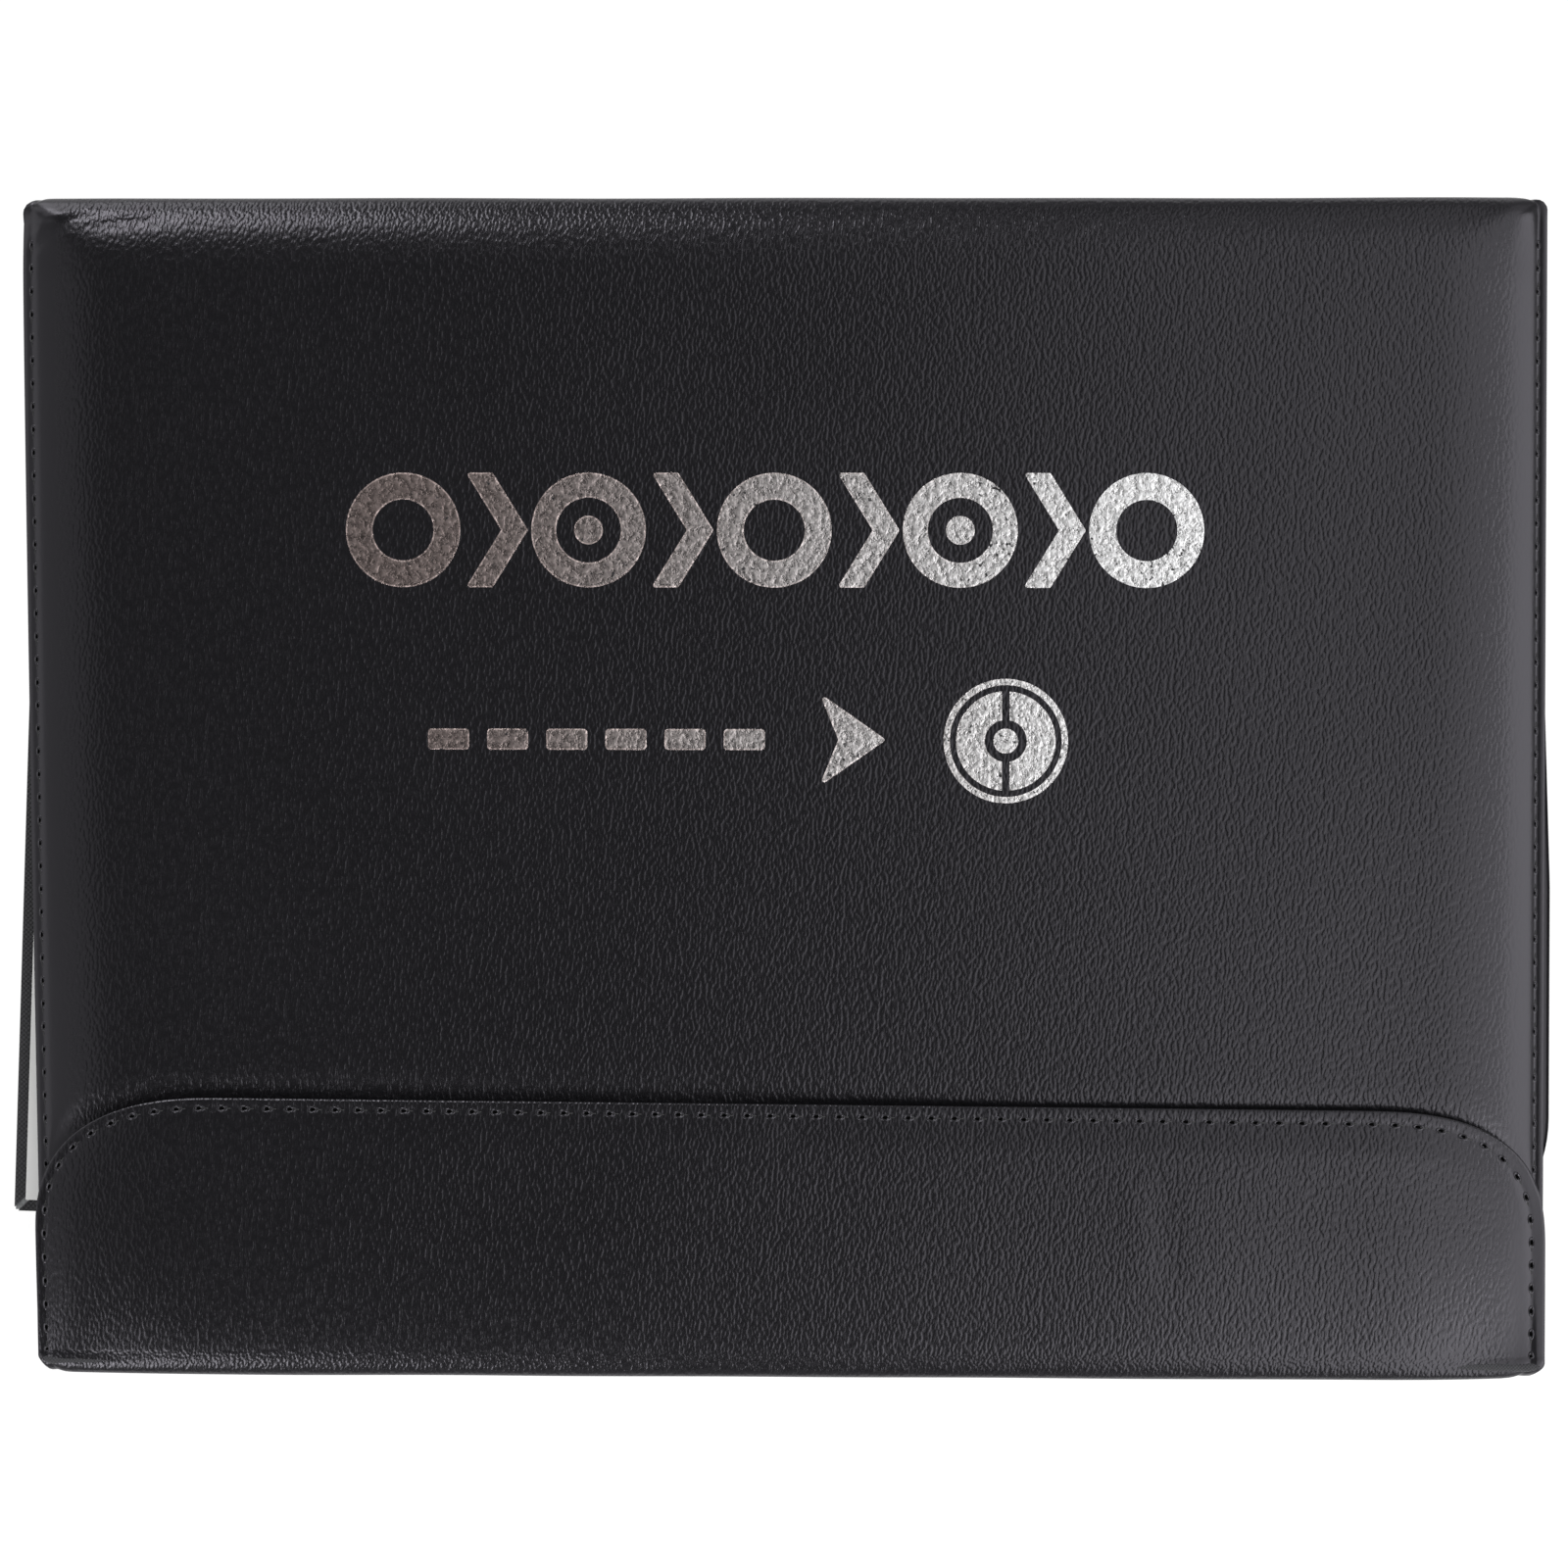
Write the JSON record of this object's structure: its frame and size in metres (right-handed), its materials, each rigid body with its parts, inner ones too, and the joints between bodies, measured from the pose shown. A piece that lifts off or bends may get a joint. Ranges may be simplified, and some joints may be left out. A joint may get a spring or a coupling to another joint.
{
  "type": "tactics board",
  "caption": "Folding sports tactics board in a padded black leather folder: hinged front cover, magnetic closing flap, askew magnetic pitch board, counters and a looped marker.",
  "frame": {"origin": "centre of the back panel's outer face, on the surface that the closed folder lies on", "axes": "+X along the folder's width, +Y from the bottom fold to the top fold, +Z out of the front cover"},
  "size_m": [0.3246, 0.248, 0.0216],
  "materials": {
    "leather": "black grained leatherette",
    "board": "grey board",
    "lining": "black lining cloth",
    "foam": "soft foam sheet",
    "binding": "black woven binding cloth",
    "steel": "thin sheet",
    "magnet": "plain",
    "pitch_face": "dry-wipe film with a printed pitch",
    "elastic": "black elastic band",
    "marker_body": "satin white",
    "marker_cap": "black",
    "felt": "dark felt",
    "counter_home": "red",
    "counter_away": "blue",
    "counter_ball": "white"
  },
  "bodies": {
    "back_panel": {"back_leather": "leather", "back_stiffener": "board", "back_lining": "lining", "pitch_board_core": "board", "pitch_board_binding": "binding", "pitch_steel_sheet": "steel", "pitch_face_sheet": "pitch_face", "marker_loop_left": "elastic", "marker_loop_right": "elastic"},
    "top_spine": {"top_spine_leather": "leather", "top_spine_stiffener": "board", "top_spine_lining": "lining"},
    "front_cover": {"cover_leather": "leather", "cover_foam": "foam", "cover_stiffener": "board", "cover_lining": "lining", "cover_catch_plates": "steel", "inside_pocket": "leather"},
    "bottom_spine": {"bottom_spine_leather": "leather", "bottom_spine_stiffener": "board", "bottom_spine_lining": "lining"},
    "flap": {"flap_leather": "leather", "flap_stiffener": "board", "flap_lining": "lining", "flap_magnets": "magnet"},
    "marker": {"marker_barrel": "marker_body", "marker_ink_core": "felt", "marker_nib": "felt", "marker_plug": "marker_cap"},
    "marker_cap": {"marker_cap": "marker_cap", "cap_eraser": "felt"},
    "player_home_01": {"home_counter_01": "counter_home"},
    "player_home_02": {"home_counter_02": "counter_home"},
    "player_home_03": {"home_counter_03": "counter_home"},
    "player_home_04": {"home_counter_04": "counter_home"},
    "player_home_05": {"home_counter_05": "counter_home"},
    "player_home_06": {"home_counter_06": "counter_home"},
    "player_home_07": {"home_counter_07": "counter_home"},
    "player_home_08": {"home_counter_08": "counter_home"},
    "player_home_09": {"home_counter_09": "counter_home"},
    "player_home_10": {"home_counter_10": "counter_home"},
    "player_home_11": {"home_counter_11": "counter_home"},
    "player_away_01": {"away_counter_01": "counter_away"},
    "player_away_02": {"away_counter_02": "counter_away"},
    "player_away_03": {"away_counter_03": "counter_away"},
    "player_away_04": {"away_counter_04": "counter_away"},
    "player_away_05": {"away_counter_05": "counter_away"},
    "player_away_06": {"away_counter_06": "counter_away"},
    "player_away_07": {"away_counter_07": "counter_away"},
    "player_away_08": {"away_counter_08": "counter_away"},
    "player_away_09": {"away_counter_09": "counter_away"},
    "player_away_10": {"away_counter_10": "counter_away"},
    "player_away_11": {"away_counter_11": "counter_away"},
    "player_ball": {"ball_counter": "counter_ball"}
  },
  "joints": [
    {"name": "cover_fold", "type": "hinge", "parent": "top_spine", "child": "front_cover", "pos_m": [0, 0.12239, 0.01729], "axis": [-1, 0, 0], "range_deg": [0, 90]},
    {"name": "top_spine_fold", "type": "hinge", "parent": "back_panel", "child": "top_spine", "pos_m": [0, 0.12239, 0.00161], "axis": [-1, 0, 0], "range_deg": [0, 90]},
    {"name": "flap_fold", "type": "hinge", "parent": "bottom_spine", "child": "flap", "pos_m": [0, -0.12239, 0.01999], "axis": [1, 0, 0], "range_deg": [0, 90]},
    {"name": "bottom_spine_fold", "type": "hinge", "parent": "back_panel", "child": "bottom_spine", "pos_m": [0, -0.12239, 0.00161], "axis": [1, 0, 0], "range_deg": [0, 90]},
    {"name": "marker_slide", "type": "slide", "parent": "back_panel", "child": "marker", "axis": [-1, 0, 0], "range_m": [0, 0.078]},
    {"name": "marker_cap_pull", "type": "slide", "parent": "marker", "child": "marker_cap", "axis": [-1, 0, 0], "range_m": [0, 0.03]},
    {"name": "player_home_01_slide", "type": "slide", "parent": "back_panel", "child": "player_home_01", "axis": [0.9995, -0.0307, 0], "range_m": [-0.01, 0.01]},
    {"name": "player_home_02_slide", "type": "slide", "parent": "back_panel", "child": "player_home_02", "axis": [0.9995, -0.0307, 0], "range_m": [-0.01, 0.01]},
    {"name": "player_home_03_slide", "type": "slide", "parent": "back_panel", "child": "player_home_03", "axis": [0.9995, -0.0307, 0], "range_m": [-0.01, 0.01]},
    {"name": "player_home_04_slide", "type": "slide", "parent": "back_panel", "child": "player_home_04", "axis": [0.9995, -0.0307, 0], "range_m": [-0.01, 0.01]},
    {"name": "player_home_05_slide", "type": "slide", "parent": "back_panel", "child": "player_home_05", "axis": [0.9995, -0.0307, 0], "range_m": [-0.01, 0.01]},
    {"name": "player_home_06_slide", "type": "slide", "parent": "back_panel", "child": "player_home_06", "axis": [0.9995, -0.0307, 0], "range_m": [-0.01, 0.01]},
    {"name": "player_home_07_slide", "type": "slide", "parent": "back_panel", "child": "player_home_07", "axis": [0.9995, -0.0307, 0], "range_m": [-0.01, 0.01]},
    {"name": "player_home_08_slide", "type": "slide", "parent": "back_panel", "child": "player_home_08", "axis": [0.9995, -0.0307, 0], "range_m": [-0.01, 0.01]},
    {"name": "player_home_09_slide", "type": "slide", "parent": "back_panel", "child": "player_home_09", "axis": [0.9995, -0.0307, 0], "range_m": [-0.01, 0.01]},
    {"name": "player_home_10_slide", "type": "slide", "parent": "back_panel", "child": "player_home_10", "axis": [0.9995, -0.0307, 0], "range_m": [-0.01, 0.01]},
    {"name": "player_home_11_slide", "type": "slide", "parent": "back_panel", "child": "player_home_11", "axis": [0.9995, -0.0307, 0], "range_m": [-0.01, 0.01]},
    {"name": "player_away_01_slide", "type": "slide", "parent": "back_panel", "child": "player_away_01", "axis": [0.9995, -0.0307, 0], "range_m": [-0.01, 0.01]},
    {"name": "player_away_02_slide", "type": "slide", "parent": "back_panel", "child": "player_away_02", "axis": [0.9995, -0.0307, 0], "range_m": [-0.01, 0.01]},
    {"name": "player_away_03_slide", "type": "slide", "parent": "back_panel", "child": "player_away_03", "axis": [0.9995, -0.0307, 0], "range_m": [-0.01, 0.01]},
    {"name": "player_away_04_slide", "type": "slide", "parent": "back_panel", "child": "player_away_04", "axis": [0.9995, -0.0307, 0], "range_m": [-0.01, 0.01]},
    {"name": "player_away_05_slide", "type": "slide", "parent": "back_panel", "child": "player_away_05", "axis": [0.9995, -0.0307, 0], "range_m": [-0.01, 0.01]},
    {"name": "player_away_06_slide", "type": "slide", "parent": "back_panel", "child": "player_away_06", "axis": [0.9995, -0.0307, 0], "range_m": [-0.01, 0.01]},
    {"name": "player_away_07_slide", "type": "slide", "parent": "back_panel", "child": "player_away_07", "axis": [0.9995, -0.0307, 0], "range_m": [-0.01, 0.01]},
    {"name": "player_away_08_slide", "type": "slide", "parent": "back_panel", "child": "player_away_08", "axis": [0.9995, -0.0307, 0], "range_m": [-0.01, 0.01]},
    {"name": "player_away_09_slide", "type": "slide", "parent": "back_panel", "child": "player_away_09", "axis": [0.9995, -0.0307, 0], "range_m": [-0.01, 0.01]},
    {"name": "player_away_10_slide", "type": "slide", "parent": "back_panel", "child": "player_away_10", "axis": [0.9995, -0.0307, 0], "range_m": [-0.01, 0.01]},
    {"name": "player_away_11_slide", "type": "slide", "parent": "back_panel", "child": "player_away_11", "axis": [0.9995, -0.0307, 0], "range_m": [-0.01, 0.01]},
    {"name": "player_ball_slide", "type": "slide", "parent": "back_panel", "child": "player_ball", "axis": [0.9995, -0.0307, 0], "range_m": [-0.01, 0.01]}
  ],
  "couplings": [
    {"joint": "top_spine_fold", "follows": "cover_fold", "ratio": 1},
    {"joint": "bottom_spine_fold", "follows": "flap_fold", "ratio": 1}
  ]
}
